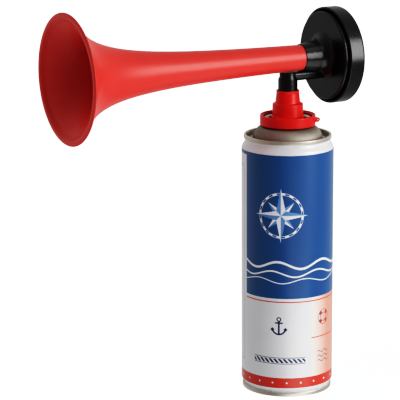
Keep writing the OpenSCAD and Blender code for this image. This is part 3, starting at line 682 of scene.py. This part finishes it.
def spring():
    """Round wire wound along the solid spring's course."""
    steps, sides = 180, 12
    climb = SPRING_HIGH - SPRING_LOW - 2 * SPRING_WIRE_R
    slope = climb / (math.tau * SPRING_MID_R * SPRING_TURNS)
    bm = bmesh.new()
    rings = []
    for i in range(steps + 1):
        turn = math.tau * SPRING_TURNS * i / steps
        outward = Vector((math.cos(turn), math.sin(turn), 0))
        upward = outward.cross(Vector((-math.sin(turn), math.cos(turn), slope)).normalized())
        middle = SPRING_MID_R * outward
        middle.z = SPRING_LOW + SPRING_WIRE_R + climb * i / steps
        rings.append([
            bm.verts.new(middle + SPRING_WIRE_R * (math.cos(a) * outward + math.sin(a) * upward))
            for a in [math.tau * k / sides for k in range(sides)]
        ])
    tube(bm, rings)
    return mesh_object("wound_spring", bm, WIRE_SHARP)


stand_for(trumpet(), "trumpet", "head", RED_TRUMPET)
stand_for(label(), "label_sleeve", "can", LABEL_PRINT)

# Solids whose shape is right and which get a finer shading, as (node, piece, body, slot, material)
COPIES = (
    ("can_body", "can_wall", "can", "can_lacquer", LACQUER),
    ("can_dome", "dome_and_seam", "can", "tinplate", TINPLATE),
    ("can_base", "base_and_seam", "can", "tinplate", TINPLATE),
    ("valve_cup", "crimped_cup", "can", "cup_steel", CUP_STEEL),
    ("guide_collar", "snap_collar", "can", "red_collar_plastic", RED_COLLAR),
    ("horn_body", "head_moulding", "head", "black_plastic", BLACK_PLASTIC),
    ("back_cap", "cap_moulding", "head", "black_plastic", BLACK_PLASTIC),
)
for node, name, body, slot, material in COPIES:
    stand_for(welded_copy(node, name), node, body, material)

coil = stand_for(spring(), "valve_spring", "can", SPRING_WIRE)
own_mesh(coil)

# Solids that stay as they are and only get a finish
INNER_FINISH = {
    "upper_seam_seal": SEALING,
    "lower_seam_seal": SEALING,
    "cup_gasket": SEALING,
    "stem_gasket": SEALING,
    "trumpet_seal": SEALING,
    "diaphragm_gasket": SEALING,
    "valve_housing": WHITE_PLASTIC,
    "valve_stem": WHITE_PLASTIC,
    "stem_bush": WHITE_PLASTIC,
    "clamp_ring": WHITE_PLASTIC,
    "diaphragm": DIAPHRAGM_FILM,
}
for node, material in INNER_FINISH.items():
    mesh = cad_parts[node].data
    mesh.materials.clear()
    mesh.materials.append(material)


# Floor, light and camera

FLOOR_HALF = 6000
FLOOR_Z = -0.05
FLOOR_GLOW = 0.62
# Soft panels that look at a point on the can: name, direction from the can in degrees from the camera's
# side towards its right, height, distance, width, length, watts, and whether gloss mirrors the panel
PANEL_AIM = Vector((0, 0, 150))
PANELS = (
    ("key", 60, 480, 1100, 600, 820, 5.7, True),
    ("top", 50, 1250, 600, 800, 600, 0.8, True),
    ("under", 30, -500, 600, 900, 900, 2.6, True),
    ("left", -100, 300, 1200, 600, 900, 1.3, False),
)
# The sky's strength at its middle, and how much more it is straight behind the object
SKY_LEVEL = 0.245
SKY_SLOPE = 0.14
# The photograph's tone, as (light in the scene, light on the screen): deep shadows and soft highlights
TONE = (
    (0, 0), (0.03, 0.013), (0.078, 0.06), (0.155, 0.2), (0.23, 0.36),
    (0.36, 0.57), (0.51, 0.77), (0.66, 0.9), (0.84, 1), (1, 1),
)
COMBINED_CURVE = 3


def floor():
    """A plain pale sheet, wide enough to fill the view."""
    bm = bmesh.new()
    bmesh.ops.create_grid(bm, x_segments=8, y_segments=8, size=FLOOR_HALF)
    bmesh.ops.translate(bm, vec=(0, 0, FLOOR_Z), verts=bm.verts)
    sheet = mesh_object("floor", bm)
    g = Graph("pale_floor", Roughness=0.9, Specular_IOR_Level=0.1)
    g.set("Base Color", g.mix(g.noise(400, 2), srgb(246, 246, 246), srgb(250, 250, 250)))
    g.set("Emission Color", (1.0, 1.0, 1.0))
    g.set("Emission Strength", FLOOR_GLOW)
    sheet.data.materials.append(g.material)
    sheet.visible_glossy = False
    sheet.visible_diffuse = False
    sheet.visible_shadow = False


def panel(name, side, height, distance, width, length, power, mirrored):
    """One soft panel."""
    azimuth = CAMERA_AZIMUTH + math.radians(side)
    where = Vector((distance * math.cos(azimuth), distance * math.sin(azimuth), height))
    lamp = bpy.data.lights.new(name, "AREA")
    lamp.shape = "RECTANGLE"
    lamp.size = width * MM
    lamp.size_y = length * MM
    lamp.energy = power
    holder = bpy.data.objects.new(name, lamp)
    holder.location = where * MM
    holder.rotation_euler = (PANEL_AIM - where).to_track_quat("-Z", "Y").to_euler()
    holder.visible_glossy = mirrored
    bpy.context.scene.collection.objects.link(holder)


def sky():
    """A dim white sky, brighter behind the object."""
    world = bpy.data.worlds.new("studio")
    bpy.context.scene.world = world
    world.use_nodes = True
    nodes, links = world.node_tree.nodes, world.node_tree.links
    behind = nodes.new("ShaderNodeVectorMath")
    behind.operation = "DOT_PRODUCT"
    behind.inputs[1].default_value = (-math.cos(CAMERA_AZIMUTH), -math.sin(CAMERA_AZIMUTH), 0)
    links.new(nodes.new("ShaderNodeTexCoord").outputs["Generated"], behind.inputs[0])
    light = nodes.new("ShaderNodeMath")
    light.operation = "MULTIPLY_ADD"
    links.new(behind.outputs["Value"], light.inputs[0])
    light.inputs[1].default_value = SKY_SLOPE
    light.inputs[2].default_value = SKY_LEVEL
    nodes["Background"].inputs["Color"].default_value = (1, 1, 1, 1)
    links.new(light.outputs[0], nodes["Background"].inputs["Strength"])


def camera():
    """The photograph's viewpoint: distance, height and turn from the fit, in the frame's axes."""
    lens = bpy.data.cameras.new("camera")
    lens.sensor_width = SENSOR
    lens.lens = FOCAL_PIXELS / FRAME_PIXELS * SENSOR
    lens.clip_start = 0.05
    lens.clip_end = 50
    holder = bpy.data.objects.new("camera", lens)
    turn = Matrix.Rotation(CAMERA_AZIMUTH + math.pi / 2, 3, "Z")
    ahead = Vector((
        math.sin(CAMERA_YAW) * math.cos(CAMERA_PITCH),
        math.cos(CAMERA_YAW) * math.cos(CAMERA_PITCH),
        -math.sin(CAMERA_PITCH),
    ))
    right = Vector((math.cos(CAMERA_YAW), -math.sin(CAMERA_YAW), 0))
    down = ahead.cross(right)
    right, down = (
        math.cos(CAMERA_ROLL) * right + math.sin(CAMERA_ROLL) * down,
        math.cos(CAMERA_ROLL) * down - math.sin(CAMERA_ROLL) * right,
    )
    axes = Matrix((turn @ right, turn @ -down, turn @ -ahead)).transposed()
    place = turn @ Vector((0, -CAMERA_DISTANCE, CAMERA_HEIGHT)) * MM
    holder.matrix_world = Matrix.Translation(place) @ axes.to_4x4()
    bpy.context.scene.collection.objects.link(holder)
    bpy.context.scene.camera = holder


def tone():
    """Bends the view's curve to the photograph's tone."""
    view = bpy.context.scene.view_settings
    view.view_transform = "Standard"
    view.use_curve_mapping = True
    curve = view.curve_mapping.curves[COMBINED_CURVE]
    curve.points[0].location = TONE[0]
    curve.points[-1].location = TONE[-1]
    for point in TONE[1:-1]:
        curve.points.new(*point)
    view.curve_mapping.update()


floor()
for soft_panel in PANELS:
    panel(*soft_panel)
sky()
camera()
tone()
